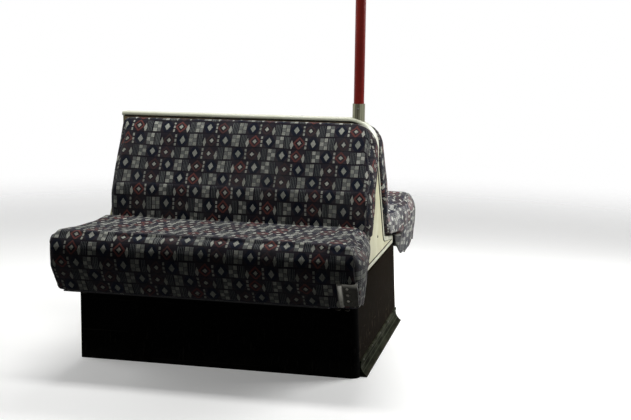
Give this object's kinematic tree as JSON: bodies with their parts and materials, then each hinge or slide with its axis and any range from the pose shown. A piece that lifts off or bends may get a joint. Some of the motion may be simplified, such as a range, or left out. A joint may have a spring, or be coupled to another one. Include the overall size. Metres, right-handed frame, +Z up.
{
  "type": "metro car seat unit",
  "caption": "Back-to-back transverse seat unit of a metro car: floor riser, moulded cheek and capping, padded backs, lift-out seats and an upright grab pole.",
  "frame": {"origin": "floor level, in the middle of the unit's box", "axes": "+X from the car's side wall to the aisle, +Y along the car, +Z up"},
  "size_m": [0.965, 1.268, 2.03],
  "materials": {
    "frame_steel": "dull zinc-coated folded steel",
    "black_laminate": "black laminate, scuffed at the foot",
    "brown_laminate": "dark brown laminate, scuffed",
    "grey_coving": "grey-green floor coving, worn",
    "plywood": "birch plywood, clear sealed",
    "cream_moulding": "cream moulded edging, glossy, worn on its corners",
    "cream_panel": "cream semi-gloss paint, lightly soiled",
    "moquette": "cut-pile wool upholstery, dark ground with grey-green and red blocks",
    "pan_paint": "black paint on folded steel",
    "bright_steel": "satin stainless steel",
    "red_paint": "deep red enamel, chipped"
  },
  "bodies": {
    "base": {"base_frame": "frame_steel", "top_frame": "frame_steel", "front_riser_panel": "black_laminate", "rear_riser_panel": "black_laminate", "front_corner_post": "black_laminate", "rear_corner_post": "black_laminate", "riser_side_panel": "brown_laminate", "riser_wall_panel": "brown_laminate", "floor_cove": "grey_coving", "cove_cap": "grey_coving", "deck_tray": "frame_steel", "deck_bearers": "frame_steel", "back_core": "plywood", "front_back_board": "plywood", "rear_back_board": "plywood", "capping": "cream_moulding", "aisle_cheek_rim": "cream_moulding", "aisle_cheek_panel": "cream_panel", "wall_frame": "cream_panel", "front_back_cushion": "moquette", "rear_back_cushion": "moquette", "pole_socket": "bright_steel", "pole_tube": "red_paint", "ceiling_flange": "bright_steel"},
    "front_seat": {"front_seat_cushion": "moquette", "front_seat_pan": "pan_paint", "front_catch_plate": "bright_steel"},
    "rear_seat": {"rear_seat_cushion": "moquette", "rear_seat_pan": "pan_paint", "rear_catch_plate": "bright_steel"}
  },
  "joints": [
    {"name": "front_seat_lift", "type": "slide", "parent": "base", "child": "front_seat", "axis": [0, 0, 1], "range_m": [0, 0.25]},
    {"name": "rear_seat_lift", "type": "slide", "parent": "base", "child": "rear_seat", "axis": [0, 0, 1], "range_m": [0, 0.25]}
  ]
}
